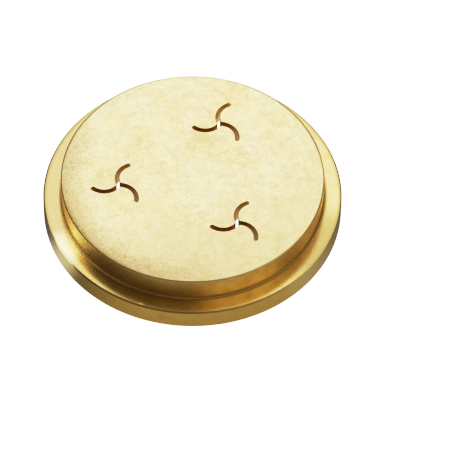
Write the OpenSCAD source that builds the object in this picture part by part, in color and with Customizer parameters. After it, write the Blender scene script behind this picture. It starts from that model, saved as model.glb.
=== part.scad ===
// Pasta extrusion die for a small table-top press.
// One piece turned from brass bar: a seat flange, a raised boss with a flat
// outlet face, and a dough recess in the back that leaves a thin face plate.
// Pinwheel slots are cut straight through the face plate.
// Origin: centre of the seat (lower face of the flange). +Z runs out of the
// outlet face, and the first outlet lies on +Y.

/* [Flange] */
// Outside diameter of the seat flange
flange_d = 59.5; // [57:0.5:66]
// Height of the flange, seat to ledge
flange_h = 4.65; // [3.6:0.05:6]
// Chamfer on the flange's upper edge
flange_chamfer = 0.25; // [0.1:0.05:0.8]
// Chamfer on the flange's lower edge
seat_chamfer = 0.3; // [0.1:0.05:0.8]

/* [Boss] */
// Diameter of the raised boss
boss_d = 52.3; // [50:0.1:54]
// Overall height, seat to outlet face
total_h = 9.9; // [9:0.1:13]
// Chamfer on the edge around the outlet face
face_chamfer = 0.2; // [0.1:0.05:0.8]
// Fillet where the boss meets the ledge
base_fillet = 0.25; // [0.1:0.05:0.8]

/* [Outlets] */
// Number of outlets
outlets = 3; // [1:1:4]
// Pitch circle diameter of the outlets
outlet_pcd = 29.3; // [27:0.1:31]
// Arms in each outlet
arms = 3; // [2:1:4]
// Width of a slot
slot_w = 0.88; // [0.6:0.02:1.4]
// Radius of an arm's centre line
arm_radius = 3.47; // [2.8:0.01:3.8]
// Angle that an arm sweeps, centre to tip
arm_sweep = 98; // [60:1:110]
// Heading of the first arm where it leaves the outlet's centre
arm_heading = 21.5; // [0:0.5:119.5]

/* [Dough recess] */
// Diameter of the recess in the back
recess_d = 46; // [43:0.5:46.5]
// Thickness of the face plate that the slots pass through
plate_t = 4.1; // [2.4:0.1:4.5]
// Fillet in the recess's inner corner
recess_fillet = 1; // [0.3:0.1:1.6]
// Chamfer around the recess's mouth
mouth_chamfer = 0.5; // [0.1:0.1:1]

/* [Hidden] */
$fn = 180;
flange_r = flange_d/2;
boss_r = boss_d/2;
recess_r = recess_d/2;
recess_h = total_h - plate_t;
over = 0.5;

// Waste outside a round of radius r, for a corner whose metal lies at -x, -y
module corner_waste(r) {
    difference() {
        translate([-r, -r]) square(r + over);
        translate([-r, -r]) circle(r);
    }
}

// Metal inside a fillet of radius r, for a corner whose metal lies at -x and -y
module cove(r) {
    difference() {
        translate([-over/2, -over/2]) square(r + over/2);
        translate([r, r]) circle(r);
    }
}

// Waste outside a chamfer of leg c, for a corner whose metal lies at -x, -y
module chamfer_waste(c) {
    polygon([[-c - over, over], [over, over], [over, -c - over]]);
}

// Half section of the turned blank: flange, boss and their worked edges
module blank_section() {
    difference() {
        union() {
            square([flange_r, flange_h]);
            square([boss_r, total_h]);
            translate([boss_r, flange_h]) cove(base_fillet);
        }
        translate([boss_r, total_h]) chamfer_waste(face_chamfer);
        translate([flange_r, flange_h]) chamfer_waste(flange_chamfer);
        translate([flange_r, 0]) mirror([0, 1]) chamfer_waste(seat_chamfer);
    }
}

// Half section of the dough recess, with its filleted corner and chamfered mouth
module recess_section() {
    difference() {
        translate([0, -over]) square([recess_r, recess_h + over]);
        translate([recess_r, recess_h]) corner_waste(recess_fillet);
    }
    polygon([
        [recess_r - over, -over],
        [recess_r + mouth_chamfer + over, -over],
        [recess_r - over, mouth_chamfer + over]
    ]);
}

// One arm: an arc that leaves the outlet's centre along +X and bends clockwise
module arm_cut() {
    translate([0, -arm_radius, recess_h - over]) {
        rotate([0, 0, 90 - arm_sweep])
            rotate_extrude(angle = arm_sweep)
                translate([arm_radius - slot_w/2, 0])
                    square([slot_w, plate_t + 2*over]);
        rotate([0, 0, 90 - arm_sweep])
            translate([arm_radius, 0, 0])
                cylinder(d = slot_w, h = plate_t + 2*over);
    }
}

// One outlet: the arms and the small round where they meet
module outlet_cut() {
    for (i = [0:arms - 1])
        rotate([0, 0, arm_heading + i*360/arms]) arm_cut();
    translate([0, 0, recess_h - over])
        cylinder(d = slot_w, h = plate_t + 2*over);
}

module die_body() {
    color([0.80, 0.68, 0.38])
    difference() {
        rotate_extrude() difference() {
            blank_section();
            recess_section();
        }
        for (i = [0:outlets - 1])
            rotate([0, 0, i*360/outlets])
                translate([0, outlet_pcd/2, 0])
                    outlet_cut();
    }
}

die_body();
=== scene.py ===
"""Looks for the turned brass die: one piece with satin outlet face, turned walls and wire-cut slots."""

import math

import bpy
import numpy as np
from mathutils import Matrix, Vector
from mathutils.geometry import delaunay_2d_cdt


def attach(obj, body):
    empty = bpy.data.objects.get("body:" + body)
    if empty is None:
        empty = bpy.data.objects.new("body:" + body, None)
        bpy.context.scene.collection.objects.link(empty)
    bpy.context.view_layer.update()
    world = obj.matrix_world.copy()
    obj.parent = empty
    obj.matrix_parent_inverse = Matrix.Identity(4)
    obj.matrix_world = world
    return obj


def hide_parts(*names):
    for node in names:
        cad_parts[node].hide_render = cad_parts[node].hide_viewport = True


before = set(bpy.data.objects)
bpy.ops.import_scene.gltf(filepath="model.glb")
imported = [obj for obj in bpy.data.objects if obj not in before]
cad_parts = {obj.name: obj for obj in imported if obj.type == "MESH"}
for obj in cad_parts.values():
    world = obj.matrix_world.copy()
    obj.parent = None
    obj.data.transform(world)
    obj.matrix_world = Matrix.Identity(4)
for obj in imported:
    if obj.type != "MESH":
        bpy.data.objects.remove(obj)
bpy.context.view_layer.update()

# ---------------------------------------------------------------- sizes, in millimetres
MM = 0.001
FLANGE_R, FLANGE_H, FLANGE_CHAMFER, SEAT_CHAMFER = 29.75, 4.65, 0.25, 0.3
BOSS_R, TOTAL_H, FACE_CHAMFER, BASE_FILLET = 26.15, 9.9, 0.2, 0.25
PITCH_R, SLOT_W, ARM_R, ARM_SWEEP, ARM_HEADING = 14.65, 0.88, 3.47, 98.0, 21.5
RECESS_R, PLATE_T, RECESS_FILLET, MOUTH = 23.0, 4.1, 1.0, 0.5
RECESS_H = TOTAL_H - PLATE_T
SLOT_BREAK = 0.06  # rounding of the slots' edges
SEGMENTS = 600
TURN = math.radians(22.0)  # the camera's azimuth: turns directions seen from the camera into the part's frame


def seen(x, y, z):
    """A direction or point given as right, away and up from the camera's side, in the part's frame."""
    c, s = math.cos(TURN), math.sin(TURN)
    return Vector((c * x - s * y, s * x + c * y, z))


def wobble(angle, seed, terms=9, low=2):
    """A smooth periodic wander along the angle, about -1 to 1."""
    rng = np.random.default_rng(seed)
    out = np.zeros_like(angle)
    for k in range(low, low + terms):
        out += rng.normal() * np.cos(k * angle + rng.uniform(0, 2 * math.pi)) / math.sqrt(k)
    return out / max(1e-9, np.abs(out).max())


# ---------------------------------------------------------------- the mesh
verts, faces, mats = [], [], []
FACE, WALL, LEDGE, SLOT, BACK = 0, 1, 2, 3, 4


def add_ring(xyz):
    start = len(verts)
    verts.extend(map(tuple, xyz))
    return np.arange(start, start + len(xyz))


def bridge(a, b, mat):
    """Quads between two closed rings of the same count."""
    n = len(a)
    for i in range(n):
        j = (i + 1) % n
        faces.append((a[i], b[i], b[j], a[j]))
        mats.append(mat)


phi = np.arange(SEGMENTS) * 2 * math.pi / SEGMENTS
worn = 0.09 * FACE_CHAMFER * wobble(phi, 3, 70, 5)  # the chamfer around the face isn't quite even


def round_steps(n):
    return np.linspace(0, math.pi / 2, n + 1)


# Section of the turned body, outlet face to back: corner radius, height, its rounding, the steps in that,
# the material of the stretch that follows, and how much of the chamfer's wear moves it
SECTION = [
    (BOSS_R - FACE_CHAMFER - 0.35, TOTAL_H, 0.0, 0, FACE, (-1, 0)),
    (BOSS_R - FACE_CHAMFER, TOTAL_H, 0.16, 4, FACE, (-1, 0)),
    (BOSS_R, TOTAL_H - FACE_CHAMFER, 0.16, 4, WALL, (0, -1)),
    (BOSS_R, FLANGE_H, BASE_FILLET, 9, LEDGE, (0, 0)),
    (FLANGE_R - FLANGE_CHAMFER, FLANGE_H, 0.07, 3, WALL, (0, 0)),
    (FLANGE_R, FLANGE_H - FLANGE_CHAMFER, 0.07, 3, WALL, (0, 0)),
    (FLANGE_R, SEAT_CHAMFER, 0.07, 3, WALL, (0, 0)),
    (FLANGE_R - SEAT_CHAMFER, 0.0, 0.07, 3, BACK, (0, 0)),
    (RECESS_R + MOUTH, 0.0, 0.07, 3, BACK, (0, 0)),
    (RECESS_R, MOUTH, 0.07, 3, BACK, (0, 0)),
    (RECESS_R, RECESS_H, RECESS_FILLET, 9, BACK, (0, 0)),
    (RECESS_R - RECESS_FILLET - 0.4, RECESS_H, 0.0, 0, BACK, (0, 0)),
]
profile = []  # (radius array, height array, material of the strip that ends here)


def station(at, i, mat):
    wear = SECTION[i][5]
    profile.append((at[0] + wear[0] * worn, at[1] + wear[1] * worn, mat))


corner = [np.array(c[:2]) for c in SECTION]
ends = []
for i, c in enumerate(SECTION):
    if c[2] == 0:
        ends.append((corner[i], corner[i], [corner[i]]))
        continue
    d1, d2 = corner[i] - corner[i - 1], corner[i + 1] - corner[i]
    d1, d2 = d1 / np.hypot(*d1), d2 / np.hypot(*d2)
    turn = math.atan2(d1[0] * d2[1] - d1[1] * d2[0], d1 @ d2)
    back = c[2] * math.tan(abs(turn) / 2)
    side = np.array([-d1[1], d1[0]]) * math.copysign(1, turn)
    mid = corner[i] - d1 * back + side * c[2]
    arc = []
    for t in np.linspace(0, turn, c[3] + 1):
        v = -side * c[2]
        arc.append(mid + np.array([math.cos(t) * v[0] - math.sin(t) * v[1], math.sin(t) * v[0] + math.cos(t) * v[1]]))
    ends.append((arc[0], arc[-1], arc))
for i, c in enumerate(SECTION):
    for k, at in enumerate(ends[i][2]):
        station(at, i, SECTION[i - 1][4] if k == 0 and i else c[4])
    if i + 1 < len(SECTION):
        a0, a1 = ends[i][1], ends[i + 1][0]
        length = np.hypot(*(a1 - a0))
        steps = max(1, int(length / 0.42))
        inner = [0.03 / length] + [j / steps for j in range(1, steps)] + [1 - 0.03 / length]
        for s_ in inner:
            station(a0 + (a1 - a0) * s_, i if s_ < 0.5 else i + 1, c[4])

rings = []
for r, z, _ in profile:
    one = np.ones(SEGMENTS)
    rings.append(add_ring(np.stack([r * np.cos(phi), r * np.sin(phi), z * one], 1)))
for k in range(1, len(profile)):
    bridge(rings[k - 1], rings[k], profile[k][2])


def slot_outline(width):
    """Outline of a pinwheel slot about its own centre, counter-clockwise, for one slot width."""
    h = width / 2
    heads = [math.radians(ARM_HEADING + 120 * k) for k in range(3)]
    mid = [np.array([ARM_R * math.sin(a), -ARM_R * math.cos(a)]) for a in heads]

    def corner(k):
        """Where the left side of arm k meets the right side of the next arm."""
        o1, r1 = mid[k], ARM_R + h
        o2, r2 = mid[(k + 1) % 3], ARM_R - h
        d = o2 - o1
        L = np.hypot(*d)
        a = (r1 * r1 - r2 * r2 + L * L) / (2 * L)
        b = math.sqrt(max(0.0, r1 * r1 - a * a))
        base, perp = o1 + d * a / L, np.array([-d[1], d[0]]) / L
        return min((base + perp * b, base - perp * b), key=lambda q: np.hypot(*q))

    pts = []
    for k in range(3):
        o, a = mid[k], heads[k]
        tip = a + math.pi / 2 - math.radians(ARM_SWEEP)
        c_in, c_out = corner((k + 2) % 3), corner(k)
        t0 = math.atan2(*(c_in - o)[::-1])
        t1 = math.atan2(*(c_out - o)[::-1])
        t0 = tip + (t0 - tip + math.pi) % (2 * math.pi) - math.pi
        t1 = tip + (t1 - tip + math.pi) % (2 * math.pi) - math.pi
        for t in np.linspace(t0, tip, 30)[:-1]:
            pts.append(o + (ARM_R - h) * np.array([math.cos(t), math.sin(t)]))
        end = o + ARM_R * np.array([math.cos(tip), math.sin(tip)])
        for s in np.linspace(0, math.pi, 13)[:-1]:
            d = tip + math.pi + s  # from the inner side round the tip to the outer side
            pts.append(end + h * np.array([math.cos(d), math.sin(d)]))
        for t in np.linspace(tip, t1, 38)[:-1]:
            pts.append(o + (ARM_R + h) * np.array([math.cos(t), math.sin(t)]))
    return np.array(pts)


def arm_distance(p):
    """Distance of points from the nearest arm's centre line, in an outlet's own frame."""
    best = np.full(len(p), 1e9)
    for k in range(3):
        a = math.radians(ARM_HEADING + 120 * k)
        o = np.array([ARM_R * math.sin(a), -ARM_R * math.cos(a)])
        th = a + math.pi / 2 - np.radians(np.linspace(0, ARM_SWEEP, 160))
        line = o + ARM_R * np.stack([np.cos(th), np.sin(th)], 1)
        best = np.minimum(best, np.sqrt(((p[:, None, :] - line[None]) ** 2).sum(-1)).min(1))
    return best


def in_part(p, k):
    """Points of an outlet's own frame, moved to outlet k."""
    a = math.radians(120 * k)
    q = p + np.array([0, PITCH_R])
    return np.stack([math.cos(a) * q[:, 0] - math.sin(a) * q[:, 1], math.sin(a) * q[:, 0] + math.cos(a) * q[:, 1]], 1)


def in_outlet(p, k):
    a = -math.radians(120 * k)
    q = np.stack([math.cos(a) * p[:, 0] - math.sin(a) * p[:, 1], math.sin(a) * p[:, 0] + math.cos(a) * p[:, 1]], 1)
    return q - np.array([0, PITCH_R])


# Slot walls: the upper edge's rounding, the wall, the lower edge's rounding
top_rims, low_rims = [], []
for k in range(3):
    levels = [(SLOT_W / 2 + SLOT_BREAK + 0.05, TOTAL_H)]
    for t in round_steps(4):
        levels.append((SLOT_W / 2 + SLOT_BREAK - SLOT_BREAK * math.sin(t), TOTAL_H - SLOT_BREAK + SLOT_BREAK * math.cos(t)))
    for s in (0.03, 0.25, 0.5, 0.75, 0.97):
        levels.append((SLOT_W / 2, TOTAL_H - SLOT_BREAK + (RECESS_H - TOTAL_H + 2 * SLOT_BREAK) * s))
    for t in round_steps(3):
        levels.append((SLOT_W / 2 + SLOT_BREAK - SLOT_BREAK * math.cos(t), RECESS_H + SLOT_BREAK - SLOT_BREAK * math.sin(t)))
    levels.append((SLOT_W / 2 + SLOT_BREAK + 0.05, RECESS_H))
    rims = []
    for half, z in levels:
        xy = in_part(slot_outline(2 * half), k)
        rims.append(add_ring(np.column_stack([xy, np.full(len(xy), z)])))
    for i in range(1, len(rims)):
        mat = FACE if i == 1 else BACK if i == len(rims) - 1 else SLOT
        bridge(rims[i], rims[i - 1], mat)
    top_rims.append(rims[0])
    low_rims.append(rims[-1])


def plate(z, outer, holes, up, mat, pitch):
    """Triangles of a flat plate between its outer ring and its holes, with points inside on a hexagonal grid."""
    ids = np.concatenate([outer, *holes])
    xy = np.array([verts[i][:2] for i in ids])
    edges, at = [], 0
    for ring in [outer, *holes]:
        n = len(ring)
        edges += [(at + i, at + (i + 1) % n) for i in range(n)]
        at += n
    limit = np.hypot(*xy[: len(outer)].T).min()
    g = np.arange(-limit, limit, pitch)
    gx, gy = np.meshgrid(g, np.arange(-limit, limit, pitch * math.sqrt(3) / 2))
    gx = gx + (np.arange(gx.shape[0]) % 2)[:, None] * pitch / 2
    grid = np.stack([gx.ravel(), gy.ravel()], 1)
    keep = np.hypot(*grid.T) < limit - 0.5 * pitch
    for k in range(3):
        keep &= arm_distance(in_outlet(grid, k)) > SLOT_W / 2 + SLOT_BREAK + 0.05 + 0.35 * pitch
    grid = grid[keep]
    inner = add_ring(np.column_stack([grid, np.full(len(grid), z)]))
    ids = np.concatenate([ids, inner])
    xy = np.concatenate([xy, grid])
    out = delaunay_2d_cdt([Vector(p) for p in xy], edges, [], 0, 1e-7)
    new_xy, tris, origin = np.array([tuple(v) for v in out[0]]), out[2], out[3]
    mid = np.array([new_xy[list(t)].mean(0) for t in tris])
    ok = np.ones(len(tris), bool)
    for k in range(3):
        ok &= arm_distance(in_outlet(mid, k)) > SLOT_W / 2 + SLOT_BREAK + 0.045
    for t, good in zip(tris, ok):
        if not good:
            continue
        a, b, c = (int(ids[origin[v][0]]) for v in t)
        pa, pb, pc = (np.array(verts[q][:2]) for q in (a, b, c))
        ccw = (pb - pa)[0] * (pc - pa)[1] - (pb - pa)[1] * (pc - pa)[0] > 0
        faces.append((a, b, c) if ccw == up else (a, c, b))
        mats.append(mat)


plate(TOTAL_H, rings[0], top_rims, True, FACE, 0.75)
plate(RECESS_H, rings[-1], low_rims, False, BACK, 1.2)

# Small nicks and knocks: place, how wide and how deep, pressed in along a direction
co = np.array(verts)


def press(point, size, depth, direction):
    """Dents the mesh around a point."""
    global co
    d2 = ((co - np.array(point)) ** 2).sum(1)
    w = np.exp(-d2 / (2 * size * size))
    w[d2 > (3.2 * size) ** 2] = 0
    co = co + (w * depth)[:, None] * np.array(direction)


def rim_point(angle_deg, r, z):
    """A point at an angle seen from the camera, 0 to the right and 90 away from it."""
    a = math.radians(angle_deg) + TURN
    return np.array([r * math.cos(a), r * math.sin(a), z]), np.array([math.cos(a), math.sin(a), 0.0])


rng = np.random.default_rng(11)
for _ in range(60):  # small knocks along the face's edge, most of them on the near left
    ang = rng.normal(222, 30)
    p, out = rim_point(ang, BOSS_R - rng.uniform(0.1, 0.5), TOTAL_H - 0.1)
    press(p, rng.uniform(0.10, 0.22), rng.uniform(0.006, 0.022), -(out * 0.6 + np.array([0, 0, 0.8])))
for ang, r, z, size, depth in (
    (272.5, BOSS_R - 0.1, TOTAL_H - 0.3, 0.26, 0.05),
    (268.5, BOSS_R + 0.9, FLANGE_H, 0.2, 0.04),
    (262.5, BOSS_R + 1.1, FLANGE_H, 0.16, 0.03),
    (26.0, BOSS_R + 1.8, FLANGE_H, 0.18, 0.05),
    (250.0, FLANGE_R - 0.1, FLANGE_H - 0.1, 0.26, 0.04),
    (318.0, FLANGE_R - 0.1, FLANGE_H - 0.1, 0.22, 0.03),
):
    p, out = rim_point(ang, r, z)
    press(p, size, depth, -(out * 0.5 + np.array([0, 0, 0.85])))

mesh = bpy.data.meshes.new("die_body_turned")
mesh.from_pydata((co * MM).tolist(), [], [tuple(int(i) for i in f) for f in faces])
mesh.polygons.foreach_set("material_index", np.array(mats, np.int32))
mesh.polygons.foreach_set("use_smooth", np.ones(len(faces), bool))
mesh.validate()
mesh.update()
mesh.set_sharp_from_angle(angle=math.radians(38))
die = bpy.data.objects.new("die_body_turned", mesh)
bpy.context.scene.collection.objects.link(die)


# ---------------------------------------------------------------- materials
class Tree:
    """Short calls for a material's nodes."""

    def __init__(self, name):
        self.mat = bpy.data.materials.new(name)
        self.mat.use_nodes = True
        self.nt = self.mat.node_tree
        self.nt.nodes.clear()
        self.out = self.nt.nodes.new("ShaderNodeOutputMaterial")
        self.bsdf = self.nt.nodes.new("ShaderNodeBsdfPrincipled")
        self.nt.links.new(self.bsdf.outputs["BSDF"], self.out.inputs["Surface"])
        self.bsdf.inputs["Metallic"].default_value = 1.0

    def put(self, socket, value):
        if isinstance(value, bpy.types.NodeSocket):
            self.nt.links.new(value, socket)
        elif isinstance(value, (int, float)) and hasattr(socket.default_value, "__len__"):
            n = len(socket.default_value)
            socket.default_value = [value] * n if n == 3 else [value, value, value, 1]
        elif hasattr(value, "__len__") and len(value) == 3 and hasattr(socket.default_value, "__len__") and len(socket.default_value) == 4:
            socket.default_value = [*value, 1]
        else:
            socket.default_value = value

    def math(self, op, a, b=0.0, c=0.0, clamp=False):
        n = self.nt.nodes.new("ShaderNodeMath")
        n.operation, n.use_clamp = op, clamp
        for i, v in enumerate((a, b, c)):
            self.put(n.inputs[i], v)
        return n.outputs[0]

    def vec(self, op, a, b=(0, 0, 0)):
        n = self.nt.nodes.new("ShaderNodeVectorMath")
        n.operation = op
        self.put(n.inputs[0], a)
        if op == "SCALE":
            self.put(n.inputs["Scale"], b)
        else:
            self.put(n.inputs[1], b)
        return n.outputs["Value"] if op in ("LENGTH", "DISTANCE", "DOT_PRODUCT") else n.outputs[0]

    def mm(self):
        """Position on the part, in millimetres."""
        n = self.nt.nodes.new("ShaderNodeTexCoord")
        return self.vec("SCALE", n.outputs["Object"], 1000.0)

    def split(self, v):
        n = self.nt.nodes.new("ShaderNodeSeparateXYZ")
        self.put(n.inputs[0], v)
        return n.outputs

    def join(self, x, y, z):
        n = self.nt.nodes.new("ShaderNodeCombineXYZ")
        for i, v in enumerate((x, y, z)):
            self.put(n.inputs[i], v)
        return n.outputs[0]

    def noise(self, v, scale, detail=2.0, rough=0.5, distort=0.0):
        n = self.nt.nodes.new("ShaderNodeTexNoise")
        self.put(n.inputs["Vector"], v)
        n.inputs["Scale"].default_value = scale
        n.inputs["Detail"].default_value = detail
        n.inputs["Roughness"].default_value = rough
        n.inputs["Distortion"].default_value = distort
        return n.outputs["Fac"]

    def cells(self, v, scale, feature="F1", randomness=1.0):
        n = self.nt.nodes.new("ShaderNodeTexVoronoi")
        n.feature = feature
        self.put(n.inputs["Vector"], v)
        n.inputs["Scale"].default_value = scale
        n.inputs["Randomness"].default_value = randomness
        return n.outputs["Distance"]

    def turn(self, v, angle):
        n = self.nt.nodes.new("ShaderNodeVectorRotate")
        n.rotation_type = "Z_AXIS"
        self.put(n.inputs["Vector"], v)
        n.inputs["Angle"].default_value = angle
        return n.outputs[0]

    def ramp(self, v, lo, hi, a=0.0, b=1.0, smooth=True):
        n = self.nt.nodes.new("ShaderNodeMapRange")
        n.interpolation_type = "SMOOTHSTEP" if smooth else "LINEAR"
        n.clamp = True
        self.put(n.inputs["Value"], v)
        for i, q in zip((1, 2, 3, 4), (lo, hi, a, b)):
            n.inputs[i].default_value = q
        return n.outputs[0]

    def mix(self, fac, a, b):
        n = self.nt.nodes.new("ShaderNodeMix")
        n.data_type = "RGBA"
        n.clamp_factor = True
        self.put(n.inputs[0], fac)
        self.put(n.inputs[6], a)
        self.put(n.inputs[7], b)
        return n.outputs[2]

    def bump(self, height, distance_mm, normal=None, strength=1.0):
        n = self.nt.nodes.new("ShaderNodeBump")
        n.inputs["Strength"].default_value = strength
        n.inputs["Distance"].default_value = distance_mm * MM
        self.put(n.inputs["Height"], height)
        if normal is not None:
            self.put(n.inputs["Normal"], normal)
        return n.outputs[0]

    def polar(self, p):
        x, y, z = self.split(p)
        r = self.math("SQRT", self.math("ADD", self.math("MULTIPLY", x, x), self.math("MULTIPLY", y, y)))
        return r, self.math("ARCTAN2", y, x), z

    def spot(self, p, x, y, radius, soft=0.5):
        """1 near a place on the face given as right and away from the camera's side, fading out at the radius."""
        c = seen(x, y, 0)
        flat = self.vec("MULTIPLY", p, (1, 1, 0))
        d = self.vec("DISTANCE", flat, (c.x, c.y, 0))
        return self.ramp(d, radius * (1 - soft), radius, 1.0, 0.0)


def face_material():
    t = Tree("brass_face")
    p = t.mm()
    r, ang, z = t.polar(p)
    warp = t.noise(p, 0.35, 2.0)
    soft = t.noise(p, 0.16, 3.0, 0.55)
    cloud = t.noise(p, 0.75, 4.0, 0.62)
    speck = t.noise(p, 2.4, 3.0, 0.7)
    grain = t.noise(p, 6.0, 3.0, 0.65)
    patch = t.noise(t.vec("ADD", p, (41.0, 7.0, 0.0)), 0.32, 3.0, 0.55)
    base = t.mix(t.ramp(soft, 0.36, 0.64), (0.93, 0.835, 0.505), (0.90, 0.775, 0.42))
    base = t.mix(t.ramp(patch, 0.42, 0.66, 0, 0.55), base, (0.89, 0.745, 0.37))
    base = t.mix(t.ramp(cloud, 0.44, 0.68, 0, 0.5), base, (0.79, 0.655, 0.375))
    base = t.mix(t.ramp(speck, 0.47, 0.68, 0, 0.55), base, (0.75, 0.595, 0.32))
    base = t.mix(t.ramp(grain, 0.46, 0.68, 0, 0.65), base, (0.70, 0.55, 0.29))
    # Painted shade: the near side is a little darker, and the near right too, where less light falls
    near = seen(0.25, -1, 0)
    ahead = t.vec("DOT_PRODUCT", p, (near.x, near.y, 0.0))
    base = t.mix(t.ramp(t.math("ADD", ahead, t.math("MULTIPLY", warp, 8.0)), 8.0, 31.0, 0, 0.75), base, (0.69, 0.555, 0.32))
    near = seen(0.85, -0.5, 0)
    beside = t.vec("DOT_PRODUCT", p, (near.x, near.y, 0.0))
    base = t.mix(t.ramp(t.math("ADD", beside, t.math("MULTIPLY", warp, 8.0)), 6.0, 28.0, 0, 0.5), base, (0.80, 0.665, 0.355))
    # Faint tea-coloured stains
    for x, y, rad, amount in (
        (1.6, 8.0, 6.5, 0.8), (-16.9, 0.3, 4.0, 0.8), (7.8, 22.3, 4.5, 0.7), (-3.4, 16.5, 4.0, 0.55),
        (-10.8, 9.0, 4.0, 0.55), (8.9, 4.9, 4.5, 0.5), (10.1, -2.4, 4.5, 0.3),
    ):
        s = t.math("MULTIPLY", t.spot(p, x, y, rad, 0.95), t.ramp(cloud, 0.34, 0.62, 0.25 * amount, amount))
        base = t.mix(s, base, (0.765, 0.59, 0.30))
    # Darker, pitted band along the near left edge
    a_seen = t.math("SUBTRACT", ang, TURN)
    side = t.math("COSINE", t.math("SUBTRACT", a_seen, math.radians(216)))
    reach = t.math("ADD", r, t.math("MULTIPLY", warp, 3.0))
    band = t.math("MULTIPLY", t.ramp(side, 0.15, 0.85), t.ramp(reach, 22.6, 27.2))
    base = t.mix(t.math("MULTIPLY", band, 0.75), base, (0.55, 0.43, 0.27))
    dots = t.noise(p, 4.2, 3.0, 0.7)
    pits = t.math("MULTIPLY", t.math("MULTIPLY", t.ramp(side, 0.15, 0.85), t.ramp(reach, 20.5, 26.2)), t.ramp(dots, 0.51, 0.64))
    base = t.mix(t.math("MULTIPLY", pits, 0.8), base, (0.43, 0.28, 0.12))
    # Fine handling scratches in several directions
    scratch = None
    for i, (angle, length, width, cut) in enumerate(((0.3, 0.10, 5.0, 0.70), (1.25, 0.12, 6.0, 0.70), (2.2, 0.09, 5.5, 0.71), (2.9, 0.16, 7.0, 0.70), (0.85, 0.2, 8.0, 0.72))):
        bent = t.vec("ADD", p, t.join(t.math("MULTIPLY", t.noise(p, 0.12 + 0.03 * i, 1.0), 6.0), t.math("MULTIPLY", t.noise(p, 0.15 + 0.02 * i, 1.0), 6.0), 0.0))
        q = t.vec("MULTIPLY", t.turn(bent, angle), (length, width, 1.0))
        q = t.vec("ADD", q, (7.3 * i, 3.1 * i, 11.7 * i))
        line = t.ramp(t.noise(q, 1.0, 1.0, 0.4), cut - 0.05, cut + 0.02)
        scratch = line if scratch is None else t.math("MAXIMUM", scratch, line)
    base = t.mix(t.math("MULTIPLY", scratch, 0.4), base, (0.55, 0.43, 0.22))
    # The broken edge is browner
    edge = t.ramp(r, BOSS_R - FACE_CHAMFER - 0.06, BOSS_R - FACE_CHAMFER + 0.04)
    base = t.mix(t.math("MULTIPLY", edge, 0.5), base, (0.60, 0.43, 0.18))
    # A dark line along the far edge, more of it at the right and left
    far = t.math("SINE", a_seen)
    sides = t.math("ABSOLUTE", t.math("COSINE", a_seen))
    line = t.math("MULTIPLY", t.ramp(far, 0.0, 0.35), t.ramp(sides, 0.1, 0.8, 0.35, 0.8))
    line = t.math("MULTIPLY", line, t.ramp(r, BOSS_R - 0.62, BOSS_R - 0.28))
    base = t.mix(line, base, (0.28, 0.22, 0.11))
    # and the near left edge is worn dull
    dull = t.math("MULTIPLY", t.ramp(side, 0.80, 0.97, 0.0, 0.9), t.ramp(t.math("ADD", r, t.math("MULTIPLY", dots, 1.2)), BOSS_R - 0.6, BOSS_R + 0.4))
    base = t.mix(dull, base, (0.40, 0.29, 0.14))
    t.put(t.bsdf.inputs["Base Color"], base)
    rough = t.math("ADD", t.ramp(cloud, 0.3, 0.75, 0.30, 0.40), t.math("MULTIPLY", pits, 0.12))
    rough = t.math("ADD", rough, t.math("MULTIPLY", edge, 0.18))
    t.put(t.bsdf.inputs["Roughness"], rough)
    n = t.bump(t.math("SUBTRACT", grain, t.math("MULTIPLY", pits, 0.7)), 0.006)
    n = t.bump(t.math("SUBTRACT", 1.0, scratch), 0.004, n)
    n = t.bump(soft, 0.05, n)
    t.put(t.bsdf.inputs["Normal"], n)
    return t.mat


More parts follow.
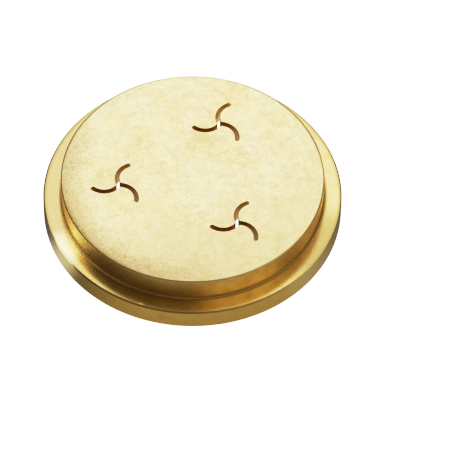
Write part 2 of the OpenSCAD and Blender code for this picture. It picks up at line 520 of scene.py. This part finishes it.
def turned_material(name, light, deep, rough_lo, rough_hi, groove, across_marks=0.6, painted_light_patches=(), rim=None):
    """Brass off the lathe: fine rings around the axis, with a little brown left in them.

    A painted light patch is a patch of painted highlight or painted shade, placed by the angle seen from the camera:
    that angle, its half widths where it is full and where it ends, how much of it there is, its colour, and the
    radius where it begins. The rim's colour, if given, is that of the flange's wall, a deeper brass painted there as
    shade."""
    t = Tree(name)
    p = t.mm()
    r, ang, z = t.polar(p)
    turn = t.math("MULTIPLY", t.math("SINE", ang), 0.35)
    wide = t.noise(t.join(t.math("MULTIPLY", r, 1.6), t.math("MULTIPLY", z, 1.6), turn), 1.0, 3.0, 0.6)
    fine = t.noise(t.join(t.math("MULTIPLY", r, 9.0), t.math("MULTIPLY", z, 9.0), t.math("MULTIPLY", turn, 3.0)), 1.0, 3.0, 0.65)
    blotch = t.noise(p, 0.5, 4.0, 0.6)
    base = t.mix(t.ramp(blotch, 0.35, 0.7), light, deep)
    base = t.mix(t.ramp(wide, 0.45, 0.75, 0, 0.45), base, deep)
    brown = tuple(c * k for c, k in zip(deep, (0.8, 0.72, 0.6)))
    base = t.mix(t.ramp(fine, 0.5, 0.8, 0, 0.35), base, brown)
    if rim is not None:
        # Painted shade: the flange's rim gets a deeper, more orange brass than the rest
        base = t.mix(t.ramp(r, 28.8, 29.2, 0.0, 0.7), base, rim)
        p0 = rim_point(258.5, FLANGE_R, 2.5)[0]
        rust = t.ramp(t.math("ADD", t.vec("DISTANCE", p, tuple(p0)), blotch), 0.4, 1.8, 0.22, 0.0)
        base = t.mix(rust, base, (0.42, 0.20, 0.06))
        # Painted shade on the flange's chamfer
        painted_dark_chamfer = t.math("MULTIPLY", t.ramp(r, 29.0, 29.3), t.ramp(z, FLANGE_H - 0.36, FLANGE_H - 0.24, 0.0, 0.8))
        base = t.mix(painted_dark_chamfer, base, (0.34, 0.24, 0.10))  # painted shade: the flange's broken edge is painted dark, standing in for the dark it reflects
    # Painted highlights and painted shade, placed by the angle seen from the camera
    for at, full, end, amount, colour, begins in painted_light_patches:
        c = t.math("COSINE", t.math("SUBTRACT", ang, TURN + math.radians(at)))
        mask = t.ramp(c, math.cos(math.radians(end)), math.cos(math.radians(full)), 0.0, amount)
        if begins:
            mask = t.math("MULTIPLY", mask, t.ramp(r, begins, begins + 0.8))
        base = t.mix(mask, base, colour)
    # Tarnish that the cloth doesn't reach, in the corner at the foot of the boss, with painted shade in that corner,
    # strongest towards the right, beside and ahead
    across = t.math("SUBTRACT", r, BOSS_R)
    above = t.math("SUBTRACT", z, FLANGE_H)
    from_corner = t.math("SQRT", t.math("ADD", t.math("MULTIPLY", across, across), t.math("MULTIPLY", above, above)))
    toward_right = t.math("COSINE", t.math("SUBTRACT", t.math("SUBTRACT", ang, TURN), math.radians(335)))
    tarnish_and_painted_shade = t.math("MULTIPLY", t.ramp(t.math("ADD", from_corner, t.math("MULTIPLY", blotch, 0.5)), 0.3, 1.1, 1.0, 0.0), t.ramp(toward_right, 0.0, 0.9, 0.6, 0.85))
    base = t.mix(tarnish_and_painted_shade, base, tuple(c * 0.85 for c in brown))
    # Painted shade in the corner at the right
    beside = t.math("COSINE", t.math("SUBTRACT", t.math("SUBTRACT", ang, TURN), math.radians(8)))
    tarnish_and_painted_shade = t.math("MULTIPLY", t.ramp(from_corner, 0.35, 1.0, 1.0, 0.0), t.ramp(beside, 0.75, 0.96, 0.0, 0.8))
    base = t.mix(tarnish_and_painted_shade, base, (0.42, 0.29, 0.12))
    # Painted shade in the corner ahead, at the near left
    ahead = t.math("COSINE", t.math("SUBTRACT", t.math("SUBTRACT", ang, TURN), math.radians(246)))
    tarnish_and_painted_shade = t.math("MULTIPLY", t.ramp(from_corner, 0.3, 2.6, 1.0, 0.0, False), t.ramp(ahead, 0.80, 0.97, 0.0, 0.5))
    base = t.mix(tarnish_and_painted_shade, base, (0.46, 0.28, 0.12))
    t.put(t.bsdf.inputs["Base Color"], base)
    # Turning marks run around the axis, so gloss spreads across them
    t.bsdf.inputs["Anisotropic"].default_value = across_marks
    t.bsdf.inputs["Anisotropic Rotation"].default_value = 0.25
    around = t.nt.nodes.new("ShaderNodeTangent")
    around.direction_type, around.axis = "RADIAL", "Z"
    t.put(t.bsdf.inputs["Tangent"], around.outputs[0])
    rough = t.ramp(t.math("ADD", t.math("MULTIPLY", fine, 0.6), t.math("MULTIPLY", blotch, 0.4)), 0.3, 0.7, rough_lo, rough_hi)
    rough = t.math("ADD", rough, t.ramp(from_corner, 0.28, 0.65, 0.30, 0.0))  # the corner isn't polished
    t.put(t.bsdf.inputs["Roughness"], rough)
    n = t.bump(fine, groove)
    n = t.bump(wide, groove * 2.0, n)
    t.put(t.bsdf.inputs["Normal"], n)
    return t.mat


def slot_material():
    """Wire-cut walls of the slots: matt, darker brass, with painted light towards the ends of two of the arms and
    painted shade near the middle.
    """
    t = Tree("brass_slot")
    p = t.mm()
    fine = t.noise(t.vec("MULTIPLY", p, (14.0, 14.0, 2.0)), 1.0, 3.0, 0.6)
    base = t.mix(t.ramp(fine, 0.35, 0.7), (0.78, 0.575, 0.30), (0.68, 0.475, 0.22))
    # Painted light: lighter brass towards the ends of two of the arms, where the far walls catch the light
    flat = t.vec("MULTIPLY", p, (1, 1, 0))
    painted_lit_ends = None
    for k in range(3):
        c = in_part(np.zeros((1, 2)), k)[0]
        for x, y, reach, amount in ((2.5, 5.1, 3.8, 1.0), (3.5, -4.0, 1.9, 0.2)):
            e = seen(x, y, 0)
            d = t.vec("DISTANCE", flat, (c[0] + e.x, c[1] + e.y, 0))
            near = t.ramp(d, 1.2, reach, amount, 0.0, False)
            painted_lit_ends = near if painted_lit_ends is None else t.math("MAXIMUM", painted_lit_ends, near)
        # Painted shade: darker brass near the middle of each slot
        for x, y, reach, amount in ((0.1, 1.0, 2.4, 0.85), (3.3, -2.2, 2.6, 0.6)):
            e = seen(x, y, 0)
            d = t.vec("DISTANCE", flat, (c[0] + e.x, c[1] + e.y, 0))
            base = t.mix(t.ramp(d, 0.3, reach, amount, 0.0), base, (0.44, 0.30, 0.12))
    base = t.mix(painted_lit_ends, base, (0.89, 0.75, 0.44))
    t.put(t.bsdf.inputs["Base Color"], base)
    t.put(t.bsdf.inputs["Roughness"], t.ramp(fine, 0.3, 0.7, 0.28, 0.38))
    t.put(t.bsdf.inputs["Normal"], t.bump(fine, 0.004))
    return t.mat


# Painted light and shade: the flat face gets a paler, creamier brass and the turned walls a deeper, more orange one,
# lit and shaded versions of the same brass
mesh.materials.append(face_material())
mesh.materials.append(
    turned_material(
        "brass_wall", (0.87, 0.67, 0.30), (0.80, 0.57, 0.235), 0.20, 0.26, 0.0002, 0.9,
        (
            # Painted shade on the boss wall at the left and right, painted highlights on the flange's wall at the
            # near left and near right
            (186, 9, 18, 0.6, (0.54, 0.36, 0.14), 0), (354, 7, 15, 0.55, (0.62, 0.44, 0.18), 0),
            (206, 4, 18, 0.8, (0.85, 0.75, 0.46), 28.0), (332, 12, 30, 0.7, (0.82, 0.67, 0.31), 28.0),
        ),
        (0.80, 0.56, 0.17),
    )
)
mesh.materials.append(
    turned_material(
        "brass_ledge", (0.765, 0.62, 0.315), (0.70, 0.54, 0.245), 0.14, 0.20, 0.0002, 0.4,
        (
            # Painted shade on the ledge at the left, far right and near right, a painted highlight across it at the
            # near left, and painted dark along its outer edge at the near left, right and left
            (168, 24, 48, 0.75, (0.60, 0.46, 0.25), 0), (44, 8, 24, 0.5, (0.60, 0.465, 0.24), 0),
            (332, 6, 24, 0.85, (0.46, 0.335, 0.165), 0),
            (208.5, 0.5, 10, 0.9, (0.93, 0.86, 0.52), 0), (242, 24, 36, 0.65, (0.46, 0.33, 0.15), 28.9),
            (8, 28, 60, 0.8, (0.36, 0.27, 0.13), 28.8), (165, 22, 42, 0.8, (0.36, 0.27, 0.13), 28.8),
        ),
    )
)
mesh.materials.append(slot_material())
mesh.materials.append(turned_material("brass_back", (0.80, 0.64, 0.34), (0.66, 0.48, 0.22), 0.30, 0.42, 0.006))

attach(die, "root")
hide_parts("die_body")

# ---------------------------------------------------------------- stage, light and camera
scene = bpy.context.scene


def disc_mesh(name, stations, count=96):
    """A turned stage surface from (radius, height) stations, in metres, closed at the middle."""
    v, f = [(0, 0, stations[0][1])], []
    for rr, zz in stations:
        v += [(rr * math.cos(2 * math.pi * i / count), rr * math.sin(2 * math.pi * i / count), zz) for i in range(count)]
    for i in range(count):
        f.append((0, 1 + i, 1 + (i + 1) % count))
    for s in range(len(stations) - 1):
        a, b = 1 + s * count, 1 + (s + 1) * count
        for i in range(count):
            j = (i + 1) % count
            f.append((a + i, b + i, b + j, a + j))
    m = bpy.data.meshes.new(name)
    m.from_pydata(v, [], f)
    m.polygons.foreach_set("use_smooth", np.ones(len(f), bool))
    o = bpy.data.objects.new(name, m)
    scene.collection.objects.link(o)
    return o


def stage_material(name, albedo, glow):
    m = bpy.data.materials.new(name)
    m.use_nodes = True
    b = m.node_tree.nodes["Principled BSDF"]
    b.inputs["Base Color"].default_value = (albedo, albedo, albedo, 1)
    b.inputs["Roughness"].default_value = 0.9
    b.inputs["Specular IOR Level"].default_value = 0.0
    b.inputs["Emission Color"].default_value = (1, 1, 1, 1)
    b.inputs["Emission Strength"].default_value = glow
    return m


sweep = disc_mesh("sweep", [(0.02, -0.0002), (0.2, -0.0002), (0.6, -0.0002), (1.1, -0.0002), (1.35, 0.03), (1.55, 0.12), (1.68, 0.28), (1.74, 0.6), (1.76, 1.4)])
sweep.data.materials.append(stage_material("pale_floor", 0.30, 2.15))
for flag in ("visible_diffuse", "visible_glossy", "visible_transmission", "visible_shadow"):
    setattr(sweep, flag, False)
table = disc_mesh("table_seen_in_metal", [(0.02, -0.0001), (0.2, -0.0001), (0.8, -0.0001)])
table.visible_camera = False


def table_material():
    """What the metal sees of the table: grey, with a painted pool of light glowing brighter in front and at the left.
    """
    t = Tree("grey_table")
    t.bsdf.inputs["Metallic"].default_value = 0.0
    t.bsdf.inputs["Roughness"].default_value = 0.9
    t.bsdf.inputs["Specular IOR Level"].default_value = 0.0
    t.bsdf.inputs["Base Color"].default_value = (0.24, 0.24, 0.24, 1)
    r, ang, z = t.polar(t.mm())
    turn = t.math("WRAP", t.math("SUBTRACT", ang, TURN + math.radians(280)), math.pi, -math.pi)
    front = t.math("MULTIPLY", t.ramp(turn, math.radians(-80), math.radians(-24), 0.10, 0.46), t.ramp(turn, math.radians(36), math.radians(80), 1.0, 0.3))
    left = t.math("MULTIPLY", t.ramp(turn, math.radians(-90), math.radians(-74), 0.0, 0.60), t.ramp(turn, math.radians(-72), math.radians(-60), 1.0, 0.0))
    glow = t.math("MULTIPLY", t.math("ADD", front, left), t.ramp(r, 34.0, 70.0, 1.0, 0.1))
    t.bsdf.inputs["Emission Color"].default_value = (1, 1, 1, 1)
    t.put(t.bsdf.inputs["Emission Strength"], glow)
    return t.mat


def sheet_material():
    """A glowing sheet under the recess, painted light for the slots from below, brighter towards the back."""
    t = Tree("lit_sheet")
    t.bsdf.inputs["Metallic"].default_value = 0.0
    t.bsdf.inputs["Roughness"].default_value = 0.9
    t.bsdf.inputs["Specular IOR Level"].default_value = 0.0
    t.bsdf.inputs["Base Color"].default_value = (0.4, 0.4, 0.4, 1)
    t.bsdf.inputs["Emission Color"].default_value = (1, 1, 1, 1)
    away = seen(0, 1, 0)
    t.put(t.bsdf.inputs["Emission Strength"], t.ramp(t.vec("DOT_PRODUCT", t.mm(), (away.x, away.y, 0.0)), 10.0, 20.0, 0.60, 0.95))
    return t.mat


table.data.materials.append(table_material())
lit_sheet = disc_mesh("lit_sheet_under_recess", [(0.010, 0.00005), (0.0232, 0.00005)])
lit_sheet.data.materials.append(sheet_material())
lit_sheet.visible_camera = False
lit_sheet.visible_shadow = False


def softbox(name, direction, distance, width, height, radiance, colour=(1, 1, 1)):
    light = bpy.data.lights.new(name, "AREA")
    light.shape = "RECTANGLE"
    light.size, light.size_y = width, height
    light.energy = radiance * math.pi * width * height
    light.color = colour
    o = bpy.data.objects.new(name, light)
    d = seen(*direction).normalized()
    o.location = d * distance
    o.rotation_mode = "QUATERNION"
    o.rotation_quaternion = (-d).to_track_quat("-Z", "Y")
    o.visible_camera = False
    scene.collection.objects.link(o)
    return o


def toward(azimuth, elevation):
    """A direction by its angles seen from the camera, 0 to the right and 90 away from it."""
    a, e = math.radians(azimuth), math.radians(elevation)
    return math.cos(a) * math.cos(e), math.sin(a) * math.cos(e), math.sin(e)


softbox("back_softbox", toward(90, 47), 0.60, 0.42, 0.40, 1.62)
softbox("left_strip", toward(148, 52), 0.60, 0.13, 0.38, 2.9)
softbox("left_card", toward(125, 52), 0.60, 0.13, 0.34, 1.0)
softbox("left_low_card", toward(178, 19), 0.60, 0.18, 0.14, 2.5)
softbox("top_fill", toward(270, 78), 0.60, 0.36, 0.22, 0.6)

# The room: dim overhead, a little lighter near the horizon, with soft bright patches to the right and front
world = bpy.data.worlds.new("studio")
scene.world = world
world.use_nodes = True
wn = world.node_tree
bg = wn.nodes["Background"]
bg.inputs["Color"].default_value = (1, 1, 1, 1)


def world_node(kind, **inputs):
    n = wn.nodes.new(kind)
    for key, value in inputs.items():
        socket = n.inputs[int(key[1:])]
        if isinstance(value, bpy.types.NodeSocket):
            wn.links.new(value, socket)
        else:
            socket.default_value = value
    return n


def world_range(value, lo, hi, a, b):
    n = world_node("ShaderNodeMapRange", _0=value, _1=lo, _2=hi, _3=a, _4=b)
    n.interpolation_type = "SMOOTHSTEP"
    return n.outputs[0]


way = wn.nodes.new("ShaderNodeTexCoord").outputs["Generated"]
height = world_node("ShaderNodeSeparateXYZ", _0=way).outputs[2]
glow = world_range(height, math.sin(math.radians(22)), math.sin(math.radians(44)), 0.40, 0.235)
for azimuth, elevation, wide, core, amount in (
    (312, 50, 31, 5, 0.82), (44, 50, 30, 10, 1.0), (4, 50, 26, 6, 0.30), (340, 14, 37, 12, 0.45), (262, 32, 26, 10, 0.28), (222, 30, 22, 8, 0.25),
):
    axis = seen(*toward(azimuth, elevation))
    n = world_node("ShaderNodeVectorMath", _0=way, _1=axis)
    n.operation = "DOT_PRODUCT"
    lobe = world_range(n.outputs["Value"], math.cos(math.radians(wide)), math.cos(math.radians(core)), 0.0, amount)
    n = world_node("ShaderNodeMath", _0=glow, _1=lobe)
    n.operation = "ADD"
    glow = n.outputs[0]
wn.links.new(glow, bg.inputs["Strength"])

# Plain colours with the contrast of a studio picture: deep shadows, and highlights that roll off to white
WHITE = 2.2
view = scene.view_settings
view.view_transform = "Standard"
view.look = "None"
view.exposure = 0.0
view.gamma = 1.0
view.use_curve_mapping = True
tone = view.curve_mapping
tone.white_level = (WHITE, WHITE, WHITE)
tone.extend = "HORIZONTAL"
for light_in, light_out in (
    (0.05, 0.012), (0.1, 0.032), (0.2, 0.088), (0.3, 0.162), (0.45, 0.31),
    (0.63, 0.51), (0.85, 0.675), (1.14, 0.80), (1.4, 0.88), (1.8, 0.965),
):
    tone.curves[3].points.new(light_in / WHITE, light_out)
tone.update()

# Camera: long lens, looking down at the face
F_PX, SCALE = 4000.0, 59.0 / 57.0
elev, dist = 0.90635, 774.06 * SCALE * MM
yaw, pitch, roll = -0.008501, -0.004719, -0.001055
place = seen(0, -dist * math.cos(elev), dist * math.sin(elev))
fwd, right = seen(0, math.cos(elev), -math.sin(elev)), seen(1, 0, 0)
up = right.cross(fwd)
q = Matrix.Rotation(yaw, 3, up)
fwd, right = q @ fwd, q @ right
q = Matrix.Rotation(pitch, 3, right)
fwd, up = q @ fwd, q @ up
q = Matrix.Rotation(roll, 3, fwd)
right, up = q @ right, q @ up
half_px = 0.5 / F_PX
fwd = (fwd - right * half_px + up * half_px).normalized()
right = fwd.cross(up).normalized()
up = right.cross(fwd)
cam_data = bpy.data.cameras.new("camera")
cam_data.sensor_fit = "HORIZONTAL"
cam_data.sensor_width = 36.0
cam_data.lens = F_PX * 36.0 / 452.0
cam_data.clip_start, cam_data.clip_end = 0.01, 20.0
camera = bpy.data.objects.new("camera", cam_data)
camera.matrix_world = Matrix(
    (
        (right.x, up.x, -fwd.x, place.x),
        (right.y, up.y, -fwd.y, place.y),
        (right.z, up.z, -fwd.z, place.z),
        (0, 0, 0, 1),
    )
)
scene.collection.objects.link(camera)
scene.camera = camera
